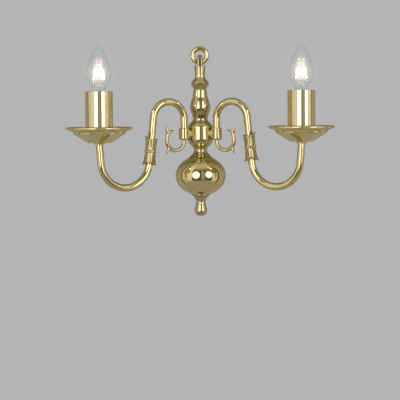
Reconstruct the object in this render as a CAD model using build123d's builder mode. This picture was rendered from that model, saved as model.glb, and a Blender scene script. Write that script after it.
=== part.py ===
from build123d import *
import math
import os

# Double arm wall sconce in the Flemish style, polished brass.
# Frame: +Z up, the wall is the plane y = 0 and the room is on the -Y side.
# The origin is the centre of the wall strap's back face, at the height of the
# middle of the ball. All sizes are in millimetres.

os.makedirs("parts", exist_ok=True)

# ------------------------------------------------------------- main dimensions
AXIS_Y = -19.5          # the column's axis stands this far in front of the wall
ARM_SWING = 30.0        # the arms point this far forward of the wall plane, degrees
FIT = 0.03              # radial clearance of fixed fits
RUN = 0.3               # radial clearance of lift-off fits

# column, bottom to top
BALL_A, BALL_B = 35.5, 28.2      # half width and half height of the ball
BALL_WALL = 1.2
HUB_Z0, HUB_Z1 = 40.5, 75.2
HUB_R = 17.8
VASE_Z1 = 121.4
NECK_TOP = 155.6
EYE_TOP = 169.9
EYE_HALF = 3.7                   # half thickness of the eye along X
EYE_R = 7.4

# hanging ring
RING_WIRE = 3.15                 # radius of the wire
RING_R = 10.0                    # centre line radius
RING_PIVOT_Z = 159.2
EYE_HOLE_Z, EYE_HOLE_R = RING_PIVOT_Z, 3.85   # the ring turns about the hole's axis

# tie tube that clamps the column together
TIE_R, TIE_BORE = 5.0, 4.0
TIE_Z0, TIE_Z1 = -32.5, 128.0

# bosses that carry the arms
BOSS_D = 26.4                    # distance from the column's axis
BOSS_R = 7.3
BOSS_Z0, BOSS_Z1 = 50.9, 67.6

# arm tube
TUBE_R, TUBE_BORE = 5.0, 4.0
ARCH_R, ARCH_Z = 24.4, 80.1      # upper bend
LEG_LEAN = 6.5                   # the outer leg leans out by this, degrees
BEND_R, BEND_Z = 37.4, 24.0      # lower bend
RISER_LEAN = 4.8                 # the riser leans out by this, degrees
RISER_TOP = 42.0                 # height where it starts to straighten
RISER_R = 60.0
TUBE_TOP = 62.0

# leaf sleeves: height of the middle band on each leg
LEAF_Z = {"left": 36.0, "right": 41.0}

# scroll under each boss
CURL_R, CURL_Z, CURL_ROD = 13.7, 50.0, 2.6

# pan, candle sleeve, lamp
PAN_Z = 49.3                     # underside of the pan
PAN_R = 45.4
SLEEVE_R, SLEEVE_BORE = 18.8, 18.0
SLEEVE_Z0, SLEEVE_Z1 = 55.3, 119.0
LAMP_TIP = 185.5
CAP_R = 6.9
WIRE_R = 1.25

SIDES = {"left": -1, "right": 1}

ca, sa = math.cos(math.radians(ARM_SWING)), math.sin(math.radians(ARM_SWING))
AXIS = Axis((0, AXIS_Y, 0), (0, 0, 1))


def upright(cx, cy):
    """A profile plane through a vertical axis: local x is the radius, y is height."""
    return Plane(origin=(cx, cy, 0), x_dir=(1, 0, 0), z_dir=(0, -1, 0))


COL = upright(0, AXIS_Y)


def arm_plane(s):
    """The arm's own plane: local x is the distance from the column, y is height."""
    return Plane(origin=(0, AXIS_Y, 0), x_dir=(s * ca, -sa, 0), z_dir=(-sa, -s * ca, 0))


def out(s, rho):
    """Plan position at a distance rho from the column along an arm."""
    return (s * ca * rho, AXIS_Y - sa * rho)


# ------------------------------------------------- route of the arm, in its plane
l1 = math.radians(LEG_LEAN)
l2 = math.radians(RISER_LEAN)
ARCH_C = (BOSS_D + ARCH_R, ARCH_Z)
LEG_TOP = (ARCH_C[0] + ARCH_R * math.cos(l1), ARCH_C[1] + ARCH_R * math.sin(l1))
LEG_LOW_Z = BEND_Z - BEND_R * math.sin(l1)
LEG_LOW = (LEG_TOP[0] + (LEG_TOP[1] - LEG_LOW_Z) * math.tan(l1), LEG_LOW_Z)
BEND_C = (LEG_LOW[0] + BEND_R * math.cos(l1), BEND_Z)
RISER_LOW = (BEND_C[0] + BEND_R * math.cos(l2), BEND_C[1] - BEND_R * math.sin(l2))
RISER_HIGH = (RISER_LOW[0] + (RISER_TOP - RISER_LOW[1]) * math.tan(l2), RISER_TOP)
STRAIGHT_C = (RISER_HIGH[0] - RISER_R * math.cos(l2), RISER_HIGH[1] + RISER_R * math.sin(l2))
STRAIGHT = (STRAIGHT_C[0] + RISER_R, STRAIGHT_C[1])
PAN_D = STRAIGHT[0]
print("pan centre from the column %.2f" % PAN_D)


def leg_point(z):
    return (LEG_TOP[0] + (LEG_TOP[1] - z) * math.tan(l1), z)


# ------------------------------------------------------------------- wall strap
with BuildPart() as wall_strap:
    with BuildSketch(Plane.XZ):
        Rectangle(40, 22)
        Rectangle(53.6, 10)
        with Locations((-17, 0), (17, 0)):
            SlotOverall(9, 5, mode=Mode.SUBTRACT)
        with Locations((0, -4.5)):
            Circle(4.2, mode=Mode.SUBTRACT)
        with Locations((14, 8.0)):
            Circle(1.8, mode=Mode.SUBTRACT)
    extrude(amount=2)
    with BuildSketch(Plane.XY.offset(-5)):
        with Locations((-25.8, -4.5), (25.8, -4.5)):
            Rectangle(2, 9)
    extrude(amount=10)
    with BuildSketch(Plane.YZ.offset(-30)):
        with Locations((-5.5, 0)):
            Circle(1.8)
    extrude(amount=60, mode=Mode.SUBTRACT)
wall_strap.part.label = "wall_strap"
export_step(wall_strap.part, "parts/wall_strap.step")

with BuildPart() as cable_grommet:
    with BuildSketch(Plane.XZ):
        with Locations((0, -4.5)):
            Circle(4.15)
            Circle(2.9, mode=Mode.SUBTRACT)
    extrude(amount=2)
    with BuildSketch(Plane.XZ.offset(2)):
        with Locations((0, -4.5)):
            Circle(5.8)
            Circle(2.9, mode=Mode.SUBTRACT)
    extrude(amount=1.6)
    fillet(cable_grommet.edges().filter_by(GeomType.CIRCLE).sort_by(Axis.Y)[0], 0.5)
cable_grommet.part.label = "cable_grommet"
export_step(cable_grommet.part, "parts/cable_grommet.step")

# three-way terminal block, with a clamp bore in each pole
with BuildPart() as terminal_block:
    with BuildSketch(Plane.XY.offset(2.4)):
        with Locations((0, -7)):
            Rectangle(18, 10)
    extrude(amount=10.6)
    fillet(terminal_block.edges().filter_by(Axis.Z), 1.0)
    with BuildSketch(Plane.XZ.offset(12)):
        with Locations((-5.6, 7.7), (0, 7.7), (5.6, 7.7)):
            Circle(1.7)
    extrude(amount=-3, mode=Mode.SUBTRACT)
    with BuildSketch(Plane.XY.offset(13)):
        with Locations((-5.6, -6.6), (0, -6.6), (5.6, -6.6)):
            Circle(1.6)
    extrude(amount=-4, mode=Mode.SUBTRACT)
terminal_block.part.label = "terminal_block"
export_step(terminal_block.part, "parts/terminal_block.step")

with BuildPart() as terminal_screws:
    with BuildSketch(Plane.XZ.offset(11.8)):
        with Locations((-5.6, 7.7), (0, 7.7), (5.6, 7.7)):
            Circle(1.55)
    extrude(amount=-2.6)
    with BuildSketch(Plane.XZ.offset(11.8)):
        with Locations((-5.6, 7.7), (0, 7.7), (5.6, 7.7)):
            Rectangle(0.6, 2.6)
    extrude(amount=-0.6, mode=Mode.SUBTRACT)
terminal_screws.part.label = "terminal_screws"
export_step(terminal_screws.part, "parts/terminal_screws.step")

with BuildPart() as earth_screw:
    with BuildSketch(Plane.XZ.offset(0.3)):
        with Locations((14, 8.0)):
            Circle(1.75)
    extrude(amount=2.2)
    with BuildSketch(Plane.XZ.offset(2.0)):
        with Locations((14, 8.0)):
            Circle(3.3)
    extrude(amount=2.4)
    with BuildSketch(Plane.XZ.offset(4.4)):
        with Locations((14, 8.0)):
            Rectangle(0.9, 7)
    extrude(amount=-1.0, mode=Mode.SUBTRACT)
earth_screw.part.label = "earth_screw"
export_step(earth_screw.part, "parts/earth_screw.step")

# two slotted screws through the sides of the ball into the strap's ears
with BuildPart() as ball_fixing_screws:
    with BuildSketch(Plane.YZ.offset(24.4)):
        with Locations((-5.5, 0)):
            Circle(1.75)
    extrude(amount=9.3)
    with BuildSketch(Plane.YZ.offset(33.65)):
        with Locations((-5.5, 0)):
            Circle(2.6)
    extrude(amount=1.4)
    with BuildSketch(Plane.YZ.offset(35.05)):
        with Locations((-5.5, 0)):
            Rectangle(0.7, 6)
    extrude(amount=-0.7, mode=Mode.SUBTRACT)
    mirror(about=Plane.YZ)
ball_fixing_screws.part.label = "ball_fixing_screws"
export_step(ball_fixing_screws.part, "parts/ball_fixing_screws.step")

# -------------------------------------------------------------- turned column
# ball: a spun shell, cut off flat by the wall so that its open back covers the strap
with BuildPart() as ball_shell:
    with BuildSketch(COL):
        Ellipse(BALL_A, BALL_B)
        Ellipse(BALL_A - BALL_WALL, BALL_B - BALL_WALL, mode=Mode.SUBTRACT)
        with Locations((5.1 - 30, 0)):
            Rectangle(60, 80, mode=Mode.SUBTRACT)
    revolve(axis=AXIS)
    with BuildSketch(Plane.XZ):
        Rectangle(120, 120)
    extrude(amount=-60, mode=Mode.SUBTRACT)
    with BuildSketch(Plane.YZ.offset(-40)):
        with Locations((-5.5, 0)):
            Circle(1.9)
    extrude(amount=80, mode=Mode.SUBTRACT)
ball_shell.part.label = "ball_shell"
export_step(ball_shell.part, "parts/ball_shell.step")

with BuildPart() as bottom_finial:
    with BuildSketch(COL):
        with BuildLine():
            a1 = ThreePointArc((TIE_R + FIT, -27.95), (9.5, -27.25), (13.5, -26.15))
            Line(a1 @ 1, (13.6, -26.7))
            b1 = Spline((13.6, -26.7), (11.8, -28.4), (9.0, -31.3), (6.9, -34.8), (6.35, -37.9),
                        (7.1, -41.0), (8.1, -45.2), (8.85, -49.0), (8.2, -52.6), (5.6, -55.8), (0, -57.5),
                        tangents=((-0.55, -1), (-1, 0)))
            Polyline(b1 @ 1, (0, -33.0), (TIE_R + FIT, -33.0), (TIE_R + FIT, -27.95))
        make_face()
    revolve(axis=AXIS)
bottom_finial.part.label = "bottom_finial"
export_step(bottom_finial.part, "parts/bottom_finial.step")

# hollow tie tube with a window at each end for the leads
with BuildPart() as tie_tube:
    with BuildSketch(Plane.XY.offset(TIE_Z0)):
        with Locations((0, AXIS_Y)):
            Circle(TIE_R)
            Circle(TIE_BORE, mode=Mode.SUBTRACT)
    extrude(amount=TIE_Z1 - TIE_Z0)
    with BuildSketch(Plane.XZ.offset(-AXIS_Y)):
        with Locations((0, 17.2)):
            SlotOverall(11, 7.2, rotation=90)
    extrude(amount=-8, mode=Mode.SUBTRACT)
    for s in SIDES.values():
        with BuildSketch(Plane(origin=(0, AXIS_Y, 57.0), x_dir=(sa, s * ca, 0), z_dir=(s * ca, -sa, 0))):
            Circle(3.0)
        extrude(amount=8, mode=Mode.SUBTRACT)
tie_tube.part.label = "tie_tube"
export_step(tie_tube.part, "parts/tie_tube.step")

# lock nuts inside the ball, against its top and its bottom
with BuildPart() as tie_nuts:
    with BuildSketch(Plane.XY.offset(22.4), Plane.XY.offset(-26.0)):
        with Locations((0, AXIS_Y)):
            RegularPolygon(7.5, 6)
            Circle(TIE_R + FIT, mode=Mode.SUBTRACT)
    extrude(amount=3.4)
tie_nuts.part.label = "tie_nuts"
export_step(tie_nuts.part, "parts/tie_nuts.step")

with BuildPart() as lower_neck:
    with BuildSketch(COL):
        with BuildLine():
            n1 = ThreePointArc((TIE_R + 0.2, 27.96), (11.5, 26.76), (17.4, 24.68))
            Line(n1 @ 1, (17.5, 25.2))
            n2 = Spline((17.5, 25.2), (14.6, 27.4), (11.5, 31.0), (9.35, 34.3), (9.2, 36.4), (9.5, 38.6), (10.7, 40.5),
                        tangents=((-1, 0.7), (0.85, 1)))
            Polyline(n2 @ 1, (TIE_R + 0.2, HUB_Z0), (TIE_R + 0.2, 27.96))
        make_face()
    revolve(axis=AXIS)
lower_neck.part.label = "lower_neck"
export_step(lower_neck.part, "parts/lower_neck.step")

# hub: a hollow drum with a boss each side
with BuildPart() as hub:
    with BuildSketch(COL):
        with BuildLine():
            h1 = Spline((10.8, HUB_Z0), (13.9, 43.6), (16.4, 47.0), (17.5, 49.9), (HUB_R, 52.8),
                        tangents=((0.9, 0.8), (0, 1)))
            h2 = Line(h1 @ 1, (HUB_R, 67.6))
            h3 = Spline((HUB_R, 67.6), (17.45, 69.9), (16.2, 72.1), (13.3, HUB_Z1),
                        tangents=((0, 1), (-1, 0.95)))
            Polyline(h3 @ 1, (TIE_R + 0.2, HUB_Z1), (TIE_R + 0.2, 70.0), (12.0, 70.0), (12.0, 47.5),
                     (TIE_R + 0.2, 47.5), (TIE_R + 0.2, HUB_Z0), (10.8, HUB_Z0))
        make_face()
    revolve(axis=AXIS)
    for s in SIDES.values():
        bx, by = out(s, BOSS_D)
        with BuildSketch(upright(bx, by)):
            with BuildLine():
                k1 = Line((0, BOSS_Z0), (BOSS_R - 2.0, BOSS_Z0))
                k2 = ThreePointArc(k1 @ 1, (BOSS_R - 0.586, BOSS_Z0 + 0.586), (BOSS_R, BOSS_Z0 + 2.0))
                k3 = Line(k2 @ 1, (BOSS_R, BOSS_Z1 - 1.2))
                k4 = ThreePointArc(k3 @ 1, (BOSS_R - 0.351, BOSS_Z1 - 0.351), (BOSS_R - 1.2, BOSS_Z1))
                Polyline(k4 @ 1, (0, BOSS_Z1), (0, BOSS_Z0))
            make_face()
        revolve(axis=Axis((bx, by, 0), (0, 0, 1)))
        tx, ty = out(s, 14.0)
        with BuildSketch(Plane(origin=(tx, ty, 59.3), x_dir=(sa, s * ca, 0), z_dir=(s * ca, -sa, 0))):
            Ellipse(6.4, 7.4)
        extrude(amount=BOSS_D - 14.0)
    for s in SIDES.values():
        bx, by = out(s, BOSS_D)
        with BuildSketch(Plane.XY.offset(59.5)):
            with Locations((bx, by)):
                Circle(TUBE_R + FIT)
        extrude(amount=12, mode=Mode.SUBTRACT)
        with BuildSketch(Plane.XY.offset(54.3)):
            with Locations((bx, by)):
                Circle(TUBE_BORE)
        extrude(amount=6, mode=Mode.SUBTRACT)
        with BuildSketch(Plane.XY.offset(50)):
            with Locations((bx, by)):
                Circle(2.0 + FIT)
        extrude(amount=5, mode=Mode.SUBTRACT)
        with BuildSketch(Plane(origin=(out(s, 11)[0], out(s, 11)[1], 57.0), x_dir=(sa, s * ca, 0), z_dir=(s * ca, -sa, 0))):
            Circle(2.6)
        extrude(amount=BOSS_D - 11.0, mode=Mode.SUBTRACT)
        with BuildSketch(Plane.XZ.offset(-by)):
            with Locations((bx, 63.4)):
                Circle(1.75 + FIT)
        extrude(amount=-12, mode=Mode.SUBTRACT)
hub.part.label = "hub"
export_step(hub.part, "parts/hub.step")

# short socket screws from behind that hold the arm tubes in the bosses
with BuildPart() as arm_grub_screws:
    for s in SIDES.values():
        bx, by = out(s, BOSS_D)
        with BuildSketch(Plane.XZ.offset(-by - TUBE_R - 0.1)):
            with Locations((bx, 63.4)):
                Circle(1.75)
        extrude(amount=-1.9)
        with BuildSketch(Plane.XZ.offset(-by - TUBE_R - 2.0)):
            with Locations((bx, 63.4)):
                RegularPolygon(1.1, 6)
        extrude(amount=1.2, mode=Mode.SUBTRACT)
arm_grub_screws.part.label = "arm_grub_screws"
export_step(arm_grub_screws.part, "parts/arm_grub_screws.step")

with BuildPart() as vase_column:
    with BuildSketch(COL):
        with BuildLine():
            v1 = Spline((13.3, HUB_Z1), (11.6, 76.6), (10.5, 79.2), (10.8, 82.6), (12.1, 87.6), (13.7, 92.3), (14.25, 96.2),
                        (13.4, 101.6), (11.7, 107.6), (10.1, 113.8), (9.1, 118.6), (8.75, VASE_Z1),
                        tangents=((-0.9, 0.8), (0, 1)))
            Polyline(v1 @ 1, (TIE_R + 0.2, VASE_Z1), (TIE_R + 0.2, HUB_Z1), (13.3, HUB_Z1))
        make_face()
    revolve(axis=AXIS)
vase_column.part.label = "vase_column"
export_step(vase_column.part, "parts/vase_column.step")

# knop, tapered neck and eye, one casting
with BuildPart() as eye_lug:
    with BuildSketch(Plane.YZ.offset(-EYE_HALF)):
        with BuildLine():
            g1 = Line((AXIS_Y - 6.6, NECK_TOP - 1.5), (AXIS_Y - EYE_R, EYE_TOP - EYE_R))
            g2 = ThreePointArc(g1 @ 1, (AXIS_Y, EYE_TOP), (AXIS_Y + EYE_R, EYE_TOP - EYE_R))
            Polyline(g2 @ 1, (AXIS_Y + 6.6, NECK_TOP - 1.5), (AXIS_Y - 6.6, NECK_TOP - 1.5))
        make_face()
    extrude(amount=2 * EYE_HALF)
    fillet(eye_lug.edges().filter_by(GeomType.CIRCLE), 2.0)
    # the hole's edges are rounded, so the curved wire clears them at every angle
    with BuildSketch(Plane.YZ.offset(-20)):
        with Locations((AXIS_Y, EYE_HOLE_Z)):
            Circle(EYE_HOLE_R)
    extrude(amount=40, mode=Mode.SUBTRACT)
    fillet(eye_lug.edges().filter_by(GeomType.CIRCLE).filter_by(lambda e: abs(e.radius - EYE_HOLE_R) < 0.01), 1.5)

with BuildPart() as eye_neck:
    with BuildSketch(COL):
        with BuildLine():
            e1 = Spline((8.75, VASE_Z1), (9.5, 123.4), (11.2, 126.5), (12.2, 128.7), (12.6, 130.2),
                        tangents=((0.2, 1), (0.35, 1)))
            e2 = Spline(e1 @ 1, (11.3, 132.6), (9.2, 135.1), (7.6, 137.3), (6.95, 139.6),
                        tangents=((-0.65, 1), (-0.15, 1)))
            e3 = Spline(e2 @ 1, (6.95, 143.0), (7.35, 149.0), (7.7, 153.6), tangents=((-0.15, 1), (0.08, 1)))
            e4 = ThreePointArc(e3 @ 1, (7.4, 155.0), (6.4, NECK_TOP))
            Polyline(e4 @ 1, (0, NECK_TOP), (0, 128.4), (TIE_R + FIT, 128.4), (TIE_R + FIT, VASE_Z1), (8.75, VASE_Z1))
        make_face()
    revolve(axis=AXIS)
    add(eye_lug.part)
    with BuildSketch(Plane.YZ.offset(-20)):
        with Locations((AXIS_Y, EYE_HOLE_Z)):
            Circle(EYE_HOLE_R)
    extrude(amount=40, mode=Mode.SUBTRACT)
eye_neck.part.label = "eye_neck"
export_step(eye_neck.part, "parts/eye_neck.step")

# the ring stands up in the eye, facing the room
RING_MID = RING_PIVOT_Z + RING_R
with BuildPart() as hanging_ring:
    with BuildSketch(Plane.XY.offset(RING_MID)):
        with Locations((RING_R, AXIS_Y)):
            Circle(RING_WIRE)
    revolve(axis=Axis((0, AXIS_Y, RING_MID), (0, 1, 0)))
hanging_ring.part.label = "hanging_ring"
export_step(hanging_ring.part, "parts/hanging_ring.step")

# ---------------------------------------------------------------------- the arms
for side, s in SIDES.items():
    ap = arm_plane(s)
    px, py = out(s, PAN_D)
    bx, by = out(s, BOSS_D)
    PAN = upright(px, py)
    PAN_AXIS = Axis((px, py, 0), (0, 0, 1))

    # tube: up out of the boss, over, down the leg, round and up through the pan
    with BuildPart() as arm_tube:
        with BuildLine(ap) as route:
            Line((BOSS_D, 59.6), (BOSS_D, ARCH_Z))
            CenterArc(ARCH_C, ARCH_R, 180, -(180 - LEG_LEAN))
            Line(LEG_TOP, LEG_LOW)
            CenterArc(BEND_C, BEND_R, 180 + LEG_LEAN, 180 - LEG_LEAN - RISER_LEAN)
            Line(RISER_LOW, RISER_HIGH)
            CenterArc(STRAIGHT_C, RISER_R, -RISER_LEAN, RISER_LEAN)
            Line(STRAIGHT, (PAN_D, TUBE_TOP))
        with BuildSketch(Plane.XY.offset(59.6)):
            with Locations((bx, by)):
                Circle(TUBE_R)
                Circle(TUBE_BORE, mode=Mode.SUBTRACT)
        sweep(path=route.wire())
    arm_tube.part.label = "arm_tube_" + side
    export_step(arm_tube.part, "parts/arm_tube_" + side + ".step")

    # cast leaf sleeve on the straight leg: leaves up and down from a middle band
    lc = leg_point(LEAF_Z[side])
    centre = ap.from_local_coords(Vector(lc[0], lc[1], 0))
    along = ap.from_local_coords(Vector(lc[0] - math.sin(l1), lc[1] + math.cos(l1), 0)) - centre
    across = ap.from_local_coords(Vector(lc[0] + math.cos(l1), lc[1] + math.sin(l1), 0)) - centre
    normal = across.cross(along)
    leaf_plane = Plane(origin=centre, x_dir=across, z_dir=normal)
    with BuildPart() as leaf_sleeve:
        with BuildSketch(leaf_plane):
            with BuildLine():
                w1 = Spline((8.6, 21.6), (7.95, 15.0), (7.35, 8.0), (7.1, 2.2))
                w2 = Polyline(w1 @ 1, (8.1, 1.7), (8.3, 0), (8.1, -1.7), (7.2, -2.2))
                w3 = Spline(w2 @ 1, (7.5, -8.0), (8.3, -14.0), (10.1, -20.6))
                Line(w3 @ 1, (9.1, -20.9))
                w4 = Spline((9.1, -20.9), (7.2, -14.0), (6.0, -9.0), (TUBE_R + FIT, -5.0))
                w5 = Line(w4 @ 1, (TUBE_R + FIT, 5.0))
                w6 = Spline(w5 @ 1, (6.0, 9.0), (6.8, 14.5), (7.6, 21.6))
                Line(w6 @ 1, (8.6, 21.6))
            make_face()
        revolve(axis=Axis(centre, along))
        # two leaves, one each side, with a notch between them facing the room; the outer one is longer
        room = Vector(0, -1, 0)
        room = (room - along * room.dot(along)).normalized()
        with BuildSketch(Plane(origin=centre, x_dir=along.cross(room), z_dir=room)):
            with BuildLine():
                Polyline((s * 12, 22.9), (0, 15.6), (-s * 12, 18.8), (-s * 12, 30), (s * 12, 30), close=True)
            make_face()
            with BuildLine():
                Polyline((12, -19.8), (0, -15.8), (-12, -19.8), (-12, -30), (12, -30), close=True)
            make_face()
        extrude(amount=16, both=True, mode=Mode.SUBTRACT)
    leaf_sleeve.part.label = "leaf_sleeve_" + side
    export_step(leaf_sleeve.part, "parts/leaf_sleeve_" + side + ".step")

    # C scroll under the boss: a round rod with leaf tips, and a spigot into the boss
    with BuildPart() as scroll:
        with BuildLine(ap) as curl:
            Line((BOSS_D, BOSS_Z0), (BOSS_D, CURL_Z))
            CenterArc((BOSS_D + CURL_R, CURL_Z), CURL_R, 180, 180)
            Line((BOSS_D + 2 * CURL_R, CURL_Z), (BOSS_D + 2 * CURL_R, 54.0))
            CenterArc((BOSS_D + CURL_R, 54.0), CURL_R, 0, 42)
        with BuildSketch(Plane.XY.offset(BOSS_Z0)):
            with Locations((bx, by)):
                Circle(CURL_ROD)
        sweep(path=curl.wire())
        with BuildSketch(Plane.XY.offset(BOSS_Z0 - 0.5)):
            with Locations((bx, by)):
                Circle(2.0)
        extrude(amount=3.8)
        for (u, v), (du, dv), length, wide in (((51.9, 59.6), (0.30, 1.0), 11.4, 2.4),
                                               ((51.4, 62.0), (-1.0, 0.36), 8.4, 2.2),
                                               ((51.0, 40.9), (0.38, -1.0), 9.9, 2.1)):
            root = ap.from_local_coords(Vector(u, v, 0))
            ahead = ap.from_local_coords(Vector(u + du, v + dv, 0)) - root
            tip = Plane(origin=root, x_dir=ap.z_dir, z_dir=ahead)
            with BuildSketch(tip):
                Ellipse(wide + 0.3, wide)
            with BuildSketch(tip.offset(0.55 * length)):
                Ellipse(wide, 0.75 * wide)
            with BuildSketch(tip.offset(length)):
                Ellipse(0.8, 0.55)
            loft()
    scroll.part.label = "scroll_" + side
    export_step(scroll.part, "parts/scroll_" + side + ".step")

    # threaded collar under the pan
    with BuildPart() as pan_collar:
        with BuildSketch(PAN):
            with BuildLine():
                Polyline((TUBE_R + FIT, 46.6), (6.4, 46.6), (7.2, 47.4), (7.3, 48.3), (6.9, PAN_Z), (TUBE_R + FIT, PAN_Z), close=True)
            make_face()
        revolve(axis=PAN_AXIS)
    pan_collar.part.label = "pan_collar_" + side
    export_step(pan_collar.part, "parts/pan_collar_" + side + ".step")

    # spun pan: flat floor, cone, small step, flared flange and a rolled edge
    with BuildPart() as drip_pan:
        with BuildSketch(PAN):
            with BuildLine():
                p1 = Polyline((TUBE_R + FIT, PAN_Z), (15.8, PAN_Z), (16.6, 49.8), (33.0, 61.1), (33.7, 62.3), (34.5, 63.0))
                p2 = Spline(p1 @ 1, (37.5, 64.2), (41.0, 65.5), (43.2, 66.5), tangents=((1, 0.35), (1, 0.5)))
                p3 = ThreePointArc(p2 @ 1, (PAN_R, 68.8), (43.2, 71.0))
                p4 = ThreePointArc(p3 @ 1, (41.2, 69.6), (41.3, 67.0))
                p5 = Spline(p4 @ 1, (38.0, 65.5), (34.6, 64.2), tangents=((-1, -0.4), (-1, -0.4)))
                Polyline(p5 @ 1, (33.2, 63.4), (32.2, 62.0), (15.9, 50.5), (15.4, PAN_Z + 1), (TUBE_R + FIT, PAN_Z + 1), (TUBE_R + FIT, PAN_Z))
            make_face()
        revolve(axis=PAN_AXIS)
    drip_pan.part.label = "drip_pan_" + side
    export_step(drip_pan.part, "parts/drip_pan_" + side + ".step")

    # seat that carries and centres the candle sleeve
    with BuildPart() as sleeve_seat:
        with BuildSketch(PAN):
            with BuildLine():
                Polyline((TUBE_R + FIT, PAN_Z + 1), (9.5, PAN_Z + 1), (9.5, 54.2), (19.4, 54.2), (19.4, 55.2), (17.7, 55.2),
                         (17.7, 58.2), (16.7, 58.2), (16.7, 55.2), (TUBE_R + FIT, 55.2), close=True)
            make_face()
        revolve(axis=PAN_AXIS)
    sleeve_seat.part.label = "sleeve_seat_" + side
    export_step(sleeve_seat.part, "parts/sleeve_seat_" + side + ".step")

    with BuildPart() as pan_nut:
        with BuildSketch(Plane.XY.offset(55.2)):
            with Locations((px, py)):
                RegularPolygon(7.5, 6)
                Circle(TUBE_R + FIT, mode=Mode.SUBTRACT)
        extrude(amount=3.0)
    pan_nut.part.label = "pan_nut_" + side
    export_step(pan_nut.part, "parts/pan_nut_" + side + ".step")

    with BuildPart() as candle_sleeve:
        with BuildSketch(Plane.XY.offset(SLEEVE_Z0)):
            with Locations((px, py)):
                Circle(SLEEVE_R)
                Circle(SLEEVE_BORE, mode=Mode.SUBTRACT)
        extrude(amount=SLEEVE_Z1 - SLEEVE_Z0)
        chamfer(candle_sleeve.edges().group_by(Axis.Z)[-1], 0.2)
    candle_sleeve.part.label = "candle_sleeve_" + side
    export_step(candle_sleeve.part, "parts/candle_sleeve_" + side + ".step")

    # small screw-cap lampholder: moulded body, threaded shell, sprung contact
    with BuildPart() as lampholder_body:
        with BuildSketch(PAN):
            with BuildLine():
                Polyline((TUBE_R + FIT, 58.2), (12.2, 58.2), (12.6, 59.0), (12.6, 72.0), (11.6, 74.0), (11.6, 108.6), (11.0, 109.4),
                         (8.3, 109.4), (8.3, 88.2), (9.4, 87.2), (9.4, 84.2), (3.0, 84.2), (3.0, 82.4), (9.6, 82.4), (9.6, 65.4),
                         (TUBE_R + FIT, 65.4), close=True)
            make_face()
        revolve(axis=PAN_AXIS)
    lampholder_body.part.label = "lampholder_body_" + side
    export_step(lampholder_body.part, "parts/lampholder_body_" + side + ".step")

    with BuildPart() as lampholder_shell:
        with BuildSketch(PAN):
            with BuildLine():
                Polyline((CAP_R + RUN + 0.1, 90.0), (8.2, 90.0), (8.2, 109.0), (CAP_R + RUN + 0.1, 109.0), close=True)
            make_face()
        revolve(axis=PAN_AXIS)
    lampholder_shell.part.label = "lampholder_shell_" + side
    export_step(lampholder_shell.part, "parts/lampholder_shell_" + side + ".step")

    with BuildPart() as lampholder_contact:
        with BuildSketch(PAN):
            with BuildLine():
                Polyline((0, 84.4), (6.0, 84.4), (6.0, 85.0), (2.6, 86.6), (0, 86.9), close=True)
            make_face()
        revolve(axis=PAN_AXIS)
        with BuildSketch(Plane.XY.offset(79.6)):
            with Locations((px, py)):
                Circle(1.6)
        extrude(amount=5.0)
    lampholder_contact.part.label = "lampholder_contact_" + side
    export_step(lampholder_contact.part, "parts/lampholder_contact_" + side + ".step")

    # candle lamp: hollow glass, screw cap, contact, stem, leads and filament
    with BuildPart() as lamp_glass:
        with BuildSketch(PAN):
            with BuildLine():
                q1 = Spline((6.3, 110.2), (6.6, 113.0), (7.7, 118.0), (9.8, 123.4), (13.0, 128.6), (15.7, 133.6), (17.0, 138.6),
                            (17.2, 143.0), (16.4, 150.0), (14.2, 158.0), (10.7, 166.5), (7.0, 174.0), (4.0, 179.4), (1.9, 183.2), (0, LAMP_TIP),
                            tangents=((0.05, 1), (-1, 0.35)))
                q2 = Line(q1 @ 1, (0, LAMP_TIP - 2.6))
                q3 = Spline(q2 @ 1, (1.6, 181.4), (3.3, 178.4), (6.2, 173.4), (9.9, 166.0), (13.4, 157.6), (15.6, 149.8), (16.4, 143.0),
                            (16.2, 138.8), (15.0, 134.1), (12.4, 129.3), (9.2, 124.1), (7.0, 118.5), (5.8, 113.2), (5.5, 110.2),
                            tangents=((1, -0.5), (-0.05, -1)))
                Line(q3 @ 1, (6.3, 110.2))
            make_face()
        revolve(axis=PAN_AXIS)
    lamp_glass.part.label = "lamp_glass_" + side
    export_step(lamp_glass.part, "parts/lamp_glass_" + side + ".step")

    with BuildPart() as lamp_cap:
        with BuildSketch(PAN):
            with BuildLine():
                Polyline((6.5, 91.6), (CAP_R - 0.3, 91.6), (CAP_R, 92.2), (CAP_R, 111.6), (6.5, 111.6), close=True)
            make_face()
        revolve(axis=PAN_AXIS)
        with BuildSketch(PAN):
            with BuildLine():
                Polyline((5.0, 91.6), (6.55, 91.6), (6.55, 92.3), (5.0, 92.3), close=True)
            make_face()
        revolve(axis=PAN_AXIS)
    lamp_cap.part.label = "lamp_cap_" + side
    export_step(lamp_cap.part, "parts/lamp_cap_" + side + ".step")

    with BuildPart() as lamp_contact:
        with BuildSketch(PAN):
            with BuildLine():
                Polyline((0, 87.2), (2.2, 87.2), (2.6, 87.7), (2.6, 88.4), (6.2, 91.2), (6.2, 91.6), (0, 91.6), close=True)
            make_face()
        revolve(axis=PAN_AXIS)
    lamp_contact.part.label = "lamp_contact_" + side
    export_step(lamp_contact.part, "parts/lamp_contact_" + side + ".step")

    with BuildPart() as lamp_stem:
        with BuildSketch(PAN):
            with BuildLine():
                j1 = Polyline((0, 110.0), (5.0, 110.0), (5.0, 110.8))
                j2 = Spline(j1 @ 1, (3.6, 113.0), (3.1, 118.0), (3.0, 122.0), (1.9, 125.6), (1.2, 131.0), tangents=((-0.6, 1), (-0.05, 1)))
                Polyline(j2 @ 1, (1.5, 132.0), (1.2, 133.0), (0, 133.2), (0, 110.0))
            make_face()
        revolve(axis=PAN_AXIS)
    lamp_stem.part.label = "lamp_stem_" + side
    export_step(lamp_stem.part, "parts/lamp_stem_" + side + ".step")

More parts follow.
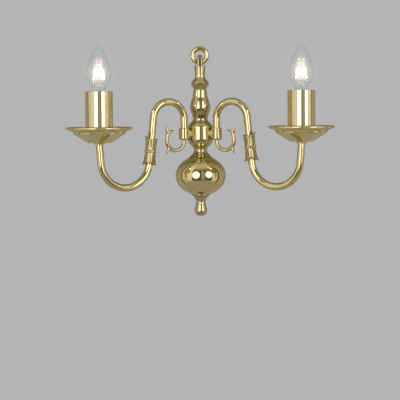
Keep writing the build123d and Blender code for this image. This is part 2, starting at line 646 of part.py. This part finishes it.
    # the filament stands in a tall M between the two leads, across the view
    with BuildPart() as lamp_leads:
        for e in (-1, 1):
            with BuildLine(PAN) as lead:
                FilletPolyline((e * 1.94, 126.0), (e * 3.2, 128.9), (e * 6.6, 132.4), (e * 6.9, 134.75), radius=1.0)
            with BuildSketch(Plane(origin=(px + e * 1.94, py, 126.0), z_dir=(e * 1.26, 0, 2.9))):
                Circle(0.3)
            sweep(path=lead.wire())
    lamp_leads.part.label = "lamp_leads_" + side
    export_step(lamp_leads.part, "parts/lamp_leads_" + side + ".step")

    with BuildPart() as lamp_filament:
        with BuildLine(PAN) as coil:
            FilletPolyline((-6.9, 134.9), (-4.4, 152.2), (0, 138.8), (4.4, 152.2), (6.9, 134.9), radius=0.9)
        with BuildSketch(Plane(origin=(px - 6.9, py, 134.9), z_dir=(2.5, 0, 17.3))):
            Circle(0.5)
        sweep(path=coil.wire())
    lamp_filament.part.label = "lamp_filament_" + side
    export_step(lamp_filament.part, "parts/lamp_filament_" + side + ".step")

    # lead: lampholder, arm, hub, tie tube, and out of its window to the terminal block
    yx, yy = s * ca * 1.9, AXIS_Y - sa * 1.9
    low = [Vector(yx, yy, 30.0), Vector(yx, yy, 17.2), Vector(yx, -11.5, 17.2), Vector(s * 5.6, -6.6, 17.2), Vector(s * 5.6, -6.6, 10.4)]
    with BuildPart() as wire:
        with BuildLine(ap) as lay:
            Line((PAN_D, 79.4), STRAIGHT)
            CenterArc(STRAIGHT_C, RISER_R, 0, -RISER_LEAN)
            Line(RISER_HIGH, RISER_LOW)
            CenterArc(BEND_C, BEND_R, -RISER_LEAN, -(180 - LEG_LEAN - RISER_LEAN))
            Line(LEG_LOW, LEG_TOP)
            CenterArc(ARCH_C, ARCH_R, LEG_LEAN, 180 - LEG_LEAN)
            Line((BOSS_D, ARCH_Z), (BOSS_D, 60.0))
            CenterArc((BOSS_D - 3.0, 60.0), 3.0, 0, -90)
            Line((BOSS_D - 3.0, 57.0), (4.9, 57.0))
            CenterArc((4.9, 54.0), 3.0, 90, 90)
            Line((1.9, 54.0), (1.9, 30.0))
        with BuildLine() as tail:
            FilletPolyline(*low, radius=2.2)
        with BuildSketch(Plane.XY.offset(79.4)):
            with Locations((px, py)):
                Circle(WIRE_R)
        sweep(path=Wire(lay.wire().edges() + tail.wire().edges()))
    wire.part.label = "wire_" + side
    print("wire volume %.1f, section times length %.1f" % (wire.part.volume, math.pi * WIRE_R ** 2 * (lay.wire().length + tail.wire().length)))
    export_step(wire.part, "parts/wire_" + side + ".step")
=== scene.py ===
import bpy
import math
from mathutils import Matrix, Vector


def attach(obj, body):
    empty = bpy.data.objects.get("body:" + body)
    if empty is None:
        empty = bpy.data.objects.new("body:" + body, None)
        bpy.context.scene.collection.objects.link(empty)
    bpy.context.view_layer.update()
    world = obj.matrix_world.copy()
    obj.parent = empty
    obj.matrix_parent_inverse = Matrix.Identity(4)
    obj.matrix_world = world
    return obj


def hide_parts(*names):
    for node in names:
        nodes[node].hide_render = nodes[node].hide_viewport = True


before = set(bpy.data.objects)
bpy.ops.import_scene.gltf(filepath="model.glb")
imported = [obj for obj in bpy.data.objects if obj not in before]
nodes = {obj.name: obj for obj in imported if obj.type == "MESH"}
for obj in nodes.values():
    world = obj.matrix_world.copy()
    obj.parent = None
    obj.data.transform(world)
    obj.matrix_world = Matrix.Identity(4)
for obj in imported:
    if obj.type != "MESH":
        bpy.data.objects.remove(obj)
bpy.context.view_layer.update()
MM = 0.001

# ------------------------------------------------------------ shared dimensions, mm
AXIS_Y = -19.5
CA, SA = math.cos(math.radians(30)), math.sin(math.radians(30))
LEAN = math.radians(6.5)
LEG_TOP = (75.043, 82.862)
LEAF_Z = {"left": 36.0, "right": 41.0}
PAN_D = 158.65
SIDES = {"left": -1, "right": 1}


def at(s, rho, z):
    """A point of an arm's plane, in mm: rho out from the column, z up."""
    return Vector((s * CA * rho, AXIS_Y - SA * rho, z))


def pan_axis(s):
    return s * CA * PAN_D, AXIS_Y - SA * PAN_D


# ------------------------------------------------------------------ node helpers
class Tree:
    """Short calls for building a node tree."""

    def __init__(self, tree):
        self.t = tree
        tree.nodes.clear()

    def new(self, kind, values=None, **props):
        n = self.t.nodes.new(kind)
        for k, v in props.items():
            setattr(n, k, v)
        for k, v in (values or {}).items():
            if isinstance(v, bpy.types.NodeSocket):
                self.t.links.new(v, n.inputs[k])
            else:
                n.inputs[k].default_value = v
        return n

    def math(self, op, a, b=0.0, c=0.0, clamp=False):
        n = self.new("ShaderNodeMath", {0: a, 1: b, 2: c}, operation=op, use_clamp=clamp)
        return n.outputs[0]

    def mix(self, fac, a, b):
        n = self.t.nodes.new("ShaderNodeMix")
        n.data_type = "RGBA"
        for i, v in ((0, fac), (6, a), (7, b)):
            if isinstance(v, bpy.types.NodeSocket):
                self.t.links.new(v, n.inputs[i])
            else:
                n.inputs[i].default_value = v
        return n.outputs[2]

    def ramp(self, fac, lo, hi, a, b):
        """fac from lo..hi mapped to a..b, clamped."""
        return self.new("ShaderNodeMapRange", {0: fac, 1: lo, 2: hi, 3: a, 4: b}).outputs[0]

    def link(self, a, b):
        self.t.links.new(a, b)


def material(name):
    m = bpy.data.materials.new(name)
    m.use_nodes = True
    t = Tree(m.node_tree)
    out = t.new("ShaderNodeOutputMaterial")
    bsdf = t.new("ShaderNodeBsdfPrincipled")
    t.link(bsdf.outputs[0], out.inputs[0])
    return m, t, bsdf, out


def coords(t):
    return t.new("ShaderNodeTexCoord").outputs["Object"]


def noise(t, vec, scale, detail=3.0, rough=0.5):
    return t.new("ShaderNodeTexNoise", {"Vector": vec, "Scale": scale, "Detail": detail, "Roughness": rough}).outputs["Fac"]


def bump(t, height, strength, distance):
    return t.new("ShaderNodeBump", {"Height": height, "Strength": strength, "Distance": distance}).outputs[0]


def metal(name, light, dark, rough=(0.05, 0.11), turned=None, crevice=0.55, grain=0.02):
    """Polished metal: tint that varies a little, painted shade that darkens the creases found by
    ambient occlusion, and fine circular tool lines where it was turned about the vertical axis at `turned`."""
    m, t, b, out = material(name)
    v = coords(t)
    tint = t.mix(t.ramp(noise(t, v, 55.0, 4.0), 0.3, 0.7, 0.0, 1.0), light, dark)
    # painted shade: the base colour darkens towards crevice × dark where ambient occlusion finds the surface
    # hemmed in
    ao = t.new("ShaderNodeAmbientOcclusion", {"Distance": 0.004}, samples=4).outputs["AO"]
    crease_shade = t.mix(t.ramp(ao, 0.25, 0.85, 1.0, 0.0), tint, tuple(c * crevice for c in dark[:3]) + (1,))
    t.link(crease_shade, b.inputs["Base Color"])
    b.inputs["Metallic"].default_value = 1.0
    smear = noise(t, v, 140.0, 5.0, 0.6)
    t.link(t.ramp(smear, 0.3, 0.75, rough[0], rough[1]), b.inputs["Roughness"])
    height = noise(t, v, 900.0, 2.0)
    if turned is not None:
        sep = t.new("ShaderNodeSeparateXYZ", {0: v})
        dx = t.math("SUBTRACT", sep.outputs[0], turned[0] * MM)
        dy = t.math("SUBTRACT", sep.outputs[1], turned[1] * MM)
        r = t.math("SQRT", t.math("ADD", t.math("MULTIPLY", dx, dx), t.math("MULTIPLY", dy, dy)))
        lines = t.math("SINE", t.math("MULTIPLY", t.math("ADD", r, sep.outputs[2]), 2 * math.pi / 0.00045))
        height = t.math("ADD", t.math("MULTIPLY", height, 0.6), t.math("MULTIPLY", lines, 0.2))
    t.link(bump(t, height, grain, 0.0002), b.inputs["Normal"])
    return m


def plastic(name, light, dark, rough=(0.35, 0.5), grain=0.15):
    m, t, b, out = material(name)
    v = coords(t)
    t.link(t.mix(t.ramp(noise(t, v, 90.0, 4.0), 0.35, 0.65, 0.0, 1.0), light, dark), b.inputs["Base Color"])
    t.link(t.ramp(noise(t, v, 260.0, 3.0), 0.3, 0.7, rough[0], rough[1]), b.inputs["Roughness"])
    t.link(bump(t, noise(t, v, 1800.0, 2.0), grain, 0.0001), b.inputs["Normal"])
    return m


BRASS_L, BRASS_D = (0.79, 0.66, 0.295, 1), (0.745, 0.605, 0.245, 1)
mats = {
    "ball": metal("brass_ball", tuple(0.99 * c for c in BRASS_L[:3]) + (1,), tuple(0.99 * c for c in BRASS_D[:3]) + (1,),
                  rough=(0.03, 0.07), turned=(0, AXIS_Y), crevice=0.62, grain=0.008),
    # painted shade: the same brass as the ball, darkened to 0.77/0.75 so the reflections on the turned parts come
    # out dimmer
    "column": metal("brass_column", tuple(0.77 * c for c in BRASS_L[:3]) + (1,), tuple(0.75 * c for c in BRASS_D[:3]) + (1,),
                    rough=(0.08, 0.13), turned=(0, AXIS_Y), crevice=0.55, grain=0.008),
    "scroll": metal("brass_scroll", (0.72, 0.60, 0.27, 1), (0.62, 0.50, 0.20, 1), rough=(0.18, 0.26), crevice=0.50, grain=0.03),
    # painted shade: the same brass again, darkened a little (0.94) so the reflections on the arms and ring come
    # out dimmer
    "formed": metal("brass_formed", tuple(0.94 * c for c in BRASS_L[:3]) + (1,), tuple(0.94 * c for c in BRASS_D[:3]) + (1,),
                    rough=(0.06, 0.11), crevice=0.62, grain=0.010),
    "cast": metal("brass_cast", (0.68, 0.57, 0.26, 1), (0.55, 0.45, 0.18, 1), rough=(0.11, 0.22), crevice=0.40, grain=0.08),
    "plain": metal("brass_plain", (0.70, 0.53, 0.22, 1), (0.60, 0.43, 0.16, 1), rough=(0.18, 0.32), grain=0.06),
    "zinc": metal("zinc_steel", (0.62, 0.63, 0.64, 1), (0.50, 0.51, 0.50, 1), rough=(0.22, 0.42), grain=0.06),
    "black": metal("black_steel", (0.07, 0.07, 0.075, 1), (0.045, 0.045, 0.05, 1), rough=(0.3, 0.5), grain=0.08),
    "cap": metal("lamp_cap_metal", (0.74, 0.74, 0.72, 1), (0.62, 0.62, 0.60, 1), rough=(0.14, 0.28)),
    "rubber": plastic("rubber_black", (0.022, 0.022, 0.023, 1), (0.012, 0.012, 0.013, 1), (0.55, 0.75), 0.3),
    "block": plastic("terminal_plastic", (0.72, 0.70, 0.64, 1), (0.66, 0.64, 0.57, 1)),
    "holder": plastic("holder_plastic", (0.74, 0.71, 0.62, 1), (0.68, 0.65, 0.55, 1)),
    "lead": plastic("lead_insulation", (0.70, 0.67, 0.58, 1), (0.64, 0.60, 0.52, 1), (0.3, 0.42), 0.08),
}
for side, s in SIDES.items():
    mats["pan_" + side] = metal("brass_spun_" + side, (0.88, 0.74, 0.34, 1), (0.83, 0.68, 0.285, 1), rough=(0.05, 0.10), turned=pan_axis(s), crevice=0.48, grain=0.008)
    mats["tube_" + side] = metal("brass_sleeve_" + side, (0.80, 0.67, 0.345, 1), (0.76, 0.62, 0.29, 1), rough=(0.035, 0.08),
                                 turned=pan_axis(s), crevice=0.62, grain=0.008)


def glass(name, colour, rough=0.0):
    m, t, b, out = material(name)
    v = coords(t)
    t.link(t.mix(t.ramp(noise(t, v, 30.0), 0.3, 0.7, 0.0, 1.0), colour, tuple(0.985 * c for c in colour[:3]) + (1,)), b.inputs["Base Color"])
    t.link(t.ramp(noise(t, v, 120.0, 4.0), 0.3, 0.8, rough, rough + 0.02), b.inputs["Roughness"])
    b.inputs["Transmission Weight"].default_value = 1.0
    b.inputs["IOR"].default_value = 1.25
    return m


def blown_glass(name, tint):
    """Lamp glass: too thin to bend what is behind it, so it tints it a little and
    mirrors the studio, most where it turns away."""
    m = bpy.data.materials.new(name)
    m.use_nodes = True
    t = Tree(m.node_tree)
    out = t.new("ShaderNodeOutputMaterial")
    v = coords(t)
    colour = t.mix(t.ramp(noise(t, v, 30.0), 0.3, 0.7, 0.0, 1.0), tint, tuple(0.992 * c for c in tint[:3]) + (1,))
    clear = t.new("ShaderNodeBsdfTransparent", {"Color": colour})
    gloss = t.new("ShaderNodeBsdfAnisotropic", {"Color": (1, 1, 1, 1), "Roughness": t.ramp(noise(t, v, 120.0, 4.0), 0.3, 0.8, 0.26, 0.34),
                                                "Normal": bump(t, noise(t, v, 160.0, 3.0), 0.03, 0.0003)})
    turned_away = t.new("ShaderNodeLayerWeight", {"Blend": 0.5}).outputs["Facing"]
    share = t.ramp(t.math("POWER", turned_away, 5.0), 0.0, 1.0, 0.03, 0.75)
    both = t.new("ShaderNodeMixShader", {0: share, 1: clear.outputs[0], 2: gloss.outputs[0]})
    t.link(both.outputs[0], out.inputs[0])
    return m


mats["glass"] = blown_glass("lamp_glass", (0.982, 0.995, 1.0, 1))
mats["stem"] = glass("stem_glass", (0.93, 0.94, 0.95, 1), 0.06)


def glowing(name):
    """Hot tungsten: brightest in the middle of the coil, oranger towards its ends."""
    m, t, b, out = material(name)
    v = coords(t)
    sep = t.new("ShaderNodeSeparateXYZ", {0: v})
    heat = t.ramp(sep.outputs[2], 0.134, 0.142, 0.0, 1.0)
    flicker = t.ramp(noise(t, v, 700.0, 2.0), 0.2, 0.8, 0.85, 1.0)
    t.link(t.mix(t.math("MULTIPLY", heat, flicker), (1.0, 0.42, 0.15, 1), (1.0, 0.78, 0.56, 1)), b.inputs["Emission Color"])
    t.link(t.ramp(heat, 0.0, 1.0, 16.0, 42.0), b.inputs["Emission Strength"])
    b.inputs["Base Color"].default_value = (0.3, 0.28, 0.26, 1)
    b.inputs["Metallic"].default_value = 1.0
    b.inputs["Roughness"].default_value = 0.4
    return m


mats["filament"] = glowing("tungsten")

# ---------------------------------------------------------------- dress the CAD nodes
GROUP = {
    "wall_strap": "zinc", "cable_grommet": "rubber", "terminal_block": "block", "terminal_screws": "zinc",
    "earth_screw": "plain", "ball_fixing_screws": "formed", "tie_nuts": "zinc", "tie_tube": "plain",
    "ball_shell": "ball", "arm_grub_screws": "black", "hanging_ring": "formed", "sleeve_seat": "plain", "pan_nut": "plain",
    "arm_tube": "formed", "leaf_sleeve": "cast", "scroll": "scroll","lampholder_body": "holder",
    "lampholder_shell": "plain", "lampholder_contact": "plain", "lamp_glass": "glass", "lamp_cap": "cap",
    "lamp_contact": "cap", "lamp_stem": "stem", "lamp_leads": "cap", "lamp_filament": "filament", "wire": "lead",
}
for name, o in nodes.items():
    base, side = (name.rsplit("_", 1) if name.endswith(("_left", "_right")) else (name, None))
    if base in ("drip_pan", "pan_collar"):
        key = "pan_" + side
    elif base == "candle_sleeve":
        key = "tube_" + side
    else:
        key = GROUP.get(name) or GROUP.get(base) or "column"
    o.data.materials.clear()
    o.data.materials.append(mats[key])
    for p in o.data.polygons:
        p.material_index = 0
        p.use_smooth = True
    # joins the mesh across its seams, then breaks the shading only at real edges
    weld = o.modifiers.new("weld", "WELD")
    weld.merge_threshold = 1e-6
    split = o.modifiers.new("edges", "EDGE_SPLIT")
    split.split_angle = math.radians(28)


# --------------------------------------------------------------- mesh helpers
def mesh(name, verts, faces, mat, smooth=True):
    me = bpy.data.meshes.new(name)
    me.from_pydata([tuple(Vector(v) * MM) for v in verts], [], faces)
    me.validate()
    me.update()
    o = bpy.data.objects.new(name, me)
    bpy.context.scene.collection.objects.link(o)
    me.materials.append(mat)
    for p in me.polygons:
        p.use_smooth = smooth
    return o


def curve_at(points, x):
    """Smooth interpolation through (x, value) pairs."""
    pts = sorted(points)
    if x <= pts[0][0]:
        return pts[0][1]
    for (x0, y0), (x1, y1) in zip(pts, pts[1:]):
        if x <= x1:
            k = (x - x0) / (x1 - x0)
            return y0 + (y1 - y0) * k
    return pts[-1][1]


def tier(centre, right, room, along, base, edge_at, profile):
    """One row of cast leaves round the tube: the vertices and faces of a closed skin.
    A leaf stands on each side, seen from the room, and the two meet in a folded groove in
    front and behind. base is where they grow from; edge_at gives the height of their edge
    against the distance to the right; profile gives the outer radius against height."""
    NT, NA, THICK = 34, 224, 0.9
    sign = 1 if base > 0 else -1
    verts = []
    for skin in (0, 1):
        for i in range(NT + 1):
            t = i / NT
            for j in range(NA):
                a = 2 * math.pi * j / NA
                u = abs(math.asin(max(-1.0, min(1.0, math.sin(a))))) / (math.pi / 2)   # 0 on the midrib, 1 in the groove
                edge = edge_at(8.4 * math.cos(a)) + sign * 0.38 * math.cos(u * math.pi * 7) * (1 - 0.6 * u)
                h = base + (edge - base) * t
                r = curve_at(profile, h)
                grow = min(1.0, 3.0 * t)
                rib = 0.55 * math.exp(-(u / 0.08) ** 2) * grow
                vein = 0.17 * math.cos(u * math.pi * 7 - 6.0 * t) * grow * (1 - u)
                flute = -0.50 * math.exp(-((u - 0.42) / 0.20) ** 2) * grow
                fold = 0.55 * math.exp(-((u - 0.80) / 0.075) ** 2) * grow
                groove = -0.95 * math.exp(-((1 - u) / 0.085) ** 2) * grow
                curl = 2.4 * max(0.0, t - 0.72) ** 1.5 * (1 - 0.6 * u)
                r = max(r + rib + vein + flute + fold + groove + curl, 6.25 + 0.4 * t)
                if skin:
                    r -= THICK * (1 - 0.35 * t)
                verts.append(centre + right * (r * math.cos(a)) + room * (r * math.sin(a)) + along * h)
    n = (NT + 1) * NA
    faces = []
    for i in range(NT):
        for j in range(NA):
            k = (j + 1) % NA
            quad = (i * NA + j, i * NA + k, (i + 1) * NA + k, (i + 1) * NA + j)
            faces.append(quad if sign > 0 else quad[::-1])
            inner = tuple(n + q for q in quad[::-1])
            faces.append(inner if sign > 0 else inner[::-1])
    for i in (0, NT):
        for j in range(NA):
            k = (j + 1) % NA
            q = (i * NA + j, n + i * NA + j, n + i * NA + k, i * NA + k)
            faces.append(q if (i == 0) == (sign < 0) else q[::-1])
    return verts, faces


def ring_about(centre, across, normal, along, section, count):
    """A closed solid turned about the tube; section is a list of (radius, height)."""
    verts = [centre + across * (r * math.cos(a)) + normal * (r * math.sin(a)) + along * h
             for a in (2 * math.pi * j / count for j in range(count)) for r, h in section]
    m = len(section)
    faces = []
    for j in range(count):
        k = (j + 1) % count
        for i in range(m):
            q = (i + 1) % m
            faces.append((j * m + i, j * m + q, k * m + q, k * m + i))
    return verts, faces


def joined(name, parts, mat):
    """One piece of several closed skins, each with its faces turned outwards."""
    verts, faces = [], []
    for v, f in parts:
        volume = sum(v[q[0]].dot(v[q[i]].cross(v[q[i + 1]])) for q in f for i in (1, 2))
        faces += [tuple(len(verts) + i for i in (q if volume > 0 else q[::-1])) for q in f]
        verts += v
    o = mesh(name, verts, faces, mat)
    return o


UPPER = [(1.7, 7.1), (8.0, 7.25), (15.0, 7.7), (21.6, 8.2)]
LOWER = [(-20.9, 9.9), (-17.5, 8.8), (-14.0, 8.0), (-8.0, 7.4), (-1.7, 7.1)]


def beads(centre, right, room, along, count):
    """The middle band: a row of rounded beads, rising to a ridge between two grooves."""
    NA, NB = 288, 14
    verts = []
    for j in range(NA):
        a = 2 * math.pi * j / NA
        swell = abs(math.cos(0.5 * count * a)) ** 0.7
        for i in range(NB + 1):
            q = math.pi * (i / NB - 0.5)
            r = 7.05 + (0.35 + 1.0 * swell) * math.cos(q)
            h = (1.15 + 0.55 * swell) * math.sin(q)
            verts.append(centre + right * (r * math.cos(a)) + room * (r * math.sin(a)) + along * h)
        verts.append(centre + right * (5.04 * math.cos(a)) + room * (5.04 * math.sin(a)) + along * 1.15)
        verts.append(centre + right * (5.04 * math.cos(a)) + room * (5.04 * math.sin(a)) - along * 1.15)
    m = NB + 3
    faces = []
    for j in range(NA):
        k = (j + 1) % NA
        for i in range(m):
            q = (i + 1) % m
            faces.append((j * m + i, k * m + i, k * m + q, j * m + q))
    return verts, faces


for side, s in SIDES.items():
    z = LEAF_Z[side]
    rho = LEG_TOP[0] + (LEG_TOP[1] - z) * math.tan(LEAN)
    centre = at(s, rho, z)
    along = (at(s, rho - math.sin(LEAN), z + math.cos(LEAN)) - centre).normalized()
    room = Vector((0, -1, 0))
    room = (room - along * room.dot(along)).normalized()
    right = along.cross(room)

    def top_edge(x, s=s):
        return 15.7 + (0.58 if x * s > 0 else 0.27) * abs(x)

    def low_edge(x):
        return -15.9 - 0.36 * abs(x)

    sleeve = joined("leaf_casting_" + side, [
        tier(centre, right, room, along, 1.2, top_edge, UPPER),
        tier(centre, right, room, along, -1.2, low_edge, LOWER),
        beads(centre, right, room, along, 8),
        ring_about(centre, right, room, along, [(5.04, 5.0), (6.75, 2.0), (6.75, -2.0), (5.04, -5.0)], 96),
    ], mats["cast"])
    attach(sleeve, "fixture")
    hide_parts("leaf_sleeve_" + side)


# ------------------------------------------------------------------- spun drip pans
def softened(points, size, steps=5):
    """A closed outline with each corner eased into a short curve."""
    out = []
    for i, p in enumerate(points):
        a, b, c = Vector(points[i - 1]), Vector(p), Vector(points[(i + 1) % len(points)])
        u = b + (a - b).normalized() * min(size, 0.45 * (a - b).length)
        v = b + (c - b).normalized() * min(size, 0.45 * (c - b).length)
        for k in range(steps):
            t = k / (steps - 1)
            q = u * (1 - t) ** 2 + b * (2 * t * (1 - t)) + v * t ** 2
            out.append((q.x, q.y))
    return out


# flat bottom, cone, the step's lip and band, the flange, and the rolled rim
PAN_SECTION = [
    (5.04, 49.3), (15.8, 49.3), (16.6, 49.8), (33.7, 61.1), (34.7, 61.3), (35.3, 61.8), (35.4, 62.6), (36.2, 64.7), (37.0, 65.1),
    (40.6, 66.4), (43.2, 67.2), (44.6, 67.7), (45.2, 68.3), (45.4, 69.1), (45.2, 69.9), (44.5, 70.6), (43.2, 71.0),
    (42.1, 70.6), (41.5, 69.8), (41.2, 68.8), (40.4, 67.8), (37.4, 66.5), (36.0, 65.9), (34.4, 63.4), (33.3, 62.1),
    (15.9, 50.5), (15.4, 50.3), (5.04, 50.3),
]
for side, s in SIDES.items():
    px, py = pan_axis(s)
    pan = joined("spun_pan_" + side, [
        ring_about(Vector((px, py, 0)), Vector((1, 0, 0)), Vector((0, 1, 0)), Vector((0, 0, 1)), softened(PAN_SECTION, 0.45), 224),
    ], mats["pan_" + side])
    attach(pan, "fixture")
    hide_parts("drip_pan_" + side)


# -------------------------------------------------------- studio: world, floor, camera
def studio_world():
    """A grey studio. What the brass mirrors is set by direction from the object: two
    round lamps in a darker opening in front, pale walls to the sides, grey behind."""
    w = bpy.data.worlds.new("studio")
    bpy.context.scene.world = w
    w.use_nodes = True
    t = Tree(w.node_tree)
    out = t.new("ShaderNodeOutputWorld")
    d = t.new("ShaderNodeTexCoord").outputs["Generated"]
    sep = t.new("ShaderNodeSeparateXYZ", {0: d})
    x, y, z = sep.outputs
    az = t.math("MULTIPLY", t.math("ARCTAN2", x, t.math("MULTIPLY", y, -1.0)), 180 / math.pi)
    el = t.math("MULTIPLY", t.math("ARCSINE", z), 180 / math.pi)

    def between(v, lo, hi, soft=1.5):
        return t.math("MULTIPLY", t.ramp(v, lo - soft, lo + soft, 0, 1), t.ramp(v, hi - soft, hi + soft, 1, 0))

    def shade(level):
        return t.new("ShaderNodeCombineColor", {0: level, 1: t.math("MULTIPLY", level, 0.98), 2: t.math("MULTIPLY", level, 1.14)}).outputs[0]

    grey, dark, ink = (0.456, 0.456, 0.456, 1), (0.075, 0.09, 0.065, 1), (0.025, 0.02, 0.01, 1)
    rear = t.math("MULTIPLY", t.ramp(t.math("ABSOLUTE", az), 100, 168, 0.0, 1.0), t.ramp(el, -45, -12, 0.0, 1.0))
    c = t.mix(rear, (0.46, 0.45, 0.42, 1), (0.24, 0.22, 0.17, 1))
    tall = between(el, -62, 62, 8)
    ceiling = t.math("MULTIPLY", between(az, -95, 95, 10), between(el, 52, 82, 5))
    c = t.mix(ceiling, c, (0.58, 0.55, 0.56, 1))
    behind = t.math("MULTIPLY", t.math("SUBTRACT", 1.0, between(az, -118, 118, 22)), between(el, 22, 72, 18))
    c = t.mix(behind, c, (0.19, 0.18, 0.13, 1))
    lower = t.ramp(el, -46, -12, 0.42, 1.0)
    for lo, hi, a, b in ((-96, -38, 0.56, 0.98), (50, 87, 1.02, 0.66)):
        c = t.mix(t.math("MULTIPLY", between(az, lo, hi, 2), tall), c, shade(t.math("MULTIPLY", t.ramp(az, lo, hi, a, b), lower)))
    for lo, hi, level in ((-105, -97, (0.12, 0.10, 0.07, 1)), (87, 95, ink)):
        c = t.mix(t.math("MULTIPLY", between(az, lo, hi, 2.0), tall), c, level)
    c = t.mix(t.math("MULTIPLY", between(az, -42, 56, 2), between(el, -38, 52, 3)), c, (0.27, 0.27, 0.23, 1))
    opening = t.math("MULTIPLY", between(az, -41, 54), between(el, -28, 39))
    c = t.mix(opening, c, dark)
    middle = t.math("MULTIPLY", between(az, 2, 20, 1.5), between(el, -24, 36, 3))
    c = t.mix(middle, c, (0.36, 0.375, 0.36, 1))
    for a, e, wide, high in ((-22, 9, 17.5, 25), (38.5, 11, 15.5, 23)):
        p, q = t.math("DIVIDE", t.math("SUBTRACT", az, a), wide), t.math("DIVIDE", t.math("SUBTRACT", el, e), high)
        away = t.math("ADD", t.math("MULTIPLY", p, p), t.math("MULTIPLY", q, q))
        c = t.mix(t.ramp(away, 0.80, 1.15, 1, 0), c, (2.25, 2.35, 3.3, 1))
    path = t.new("ShaderNodeLightPath")
    seen = t.math("MAXIMUM", path.outputs["Is Camera Ray"], path.outputs["Is Transmission Ray"])
    c = t.mix(seen, c, grey)
    bg = t.new("ShaderNodeBackground", {"Color": c, "Strength": 1.0})
    t.link(bg.outputs[0], out.inputs[0])


studio_world()

floor_mat, ft, fb, _ = material("pale_floor")
fv = coords(ft)
ft.link(ft.mix(ft.ramp(noise(ft, fv, 3.0, 4.0), 0.3, 0.7, 0.0, 1.0), (0.74, 0.74, 0.74, 1), (0.71, 0.71, 0.71, 1)), fb.inputs["Base Color"])
ft.link(ft.ramp(noise(ft, fv, 40.0, 3.0), 0.3, 0.7, 0.55, 0.7), fb.inputs["Roughness"])
floor = mesh("floor", [(-800, -800, -620), (800, -800, -620), (800, 760, -620), (-800, 760, -620)], [(0, 1, 2, 3)], floor_mat, False)

scene = bpy.context.scene
scene.view_settings.view_transform = "Standard"
scene.view_settings.look = "None"
scene.view_settings.exposure = 0.0
scene.view_settings.gamma = 1.0

# the lens's bloom round the lit filaments, which are far brighter than anything mirrored
scene.use_nodes = True
comp = Tree(scene.node_tree)
image = comp.new("CompositorNodeRLayers").outputs["Image"]
bloom = comp.new("CompositorNodeGlare", glare_type="BLOOM")
for key, value in (("Threshold", 5.0), ("Smoothness", 0.2), ("Strength", 0.5), ("Saturation", 1.0), ("Size", 0.2)):
    bloom.inputs[key].default_value = value
comp.link(image, bloom.inputs["Image"])
image = bloom.outputs["Image"]
final = comp.new("CompositorNodeComposite")
comp.link(image, final.inputs["Image"])

cam_data = bpy.data.cameras.new("camera")
cam_data.sensor_width = 36.0
cam_data.lens = 127.05
cam_data.clip_start, cam_data.clip_end = 0.05, 50.0
cam = bpy.data.objects.new("camera", cam_data)
scene.collection.objects.link(cam)
PITCH, ROLL = math.radians(3.856), math.radians(0.45)
look = Matrix.Rotation(math.radians(90) - PITCH, 4, "X") @ Matrix.Rotation(-ROLL, 4, "Z")
cam.matrix_world = Matrix.Translation((-0.00128, -2.0195, 0.100)) @ look
scene.camera = cam
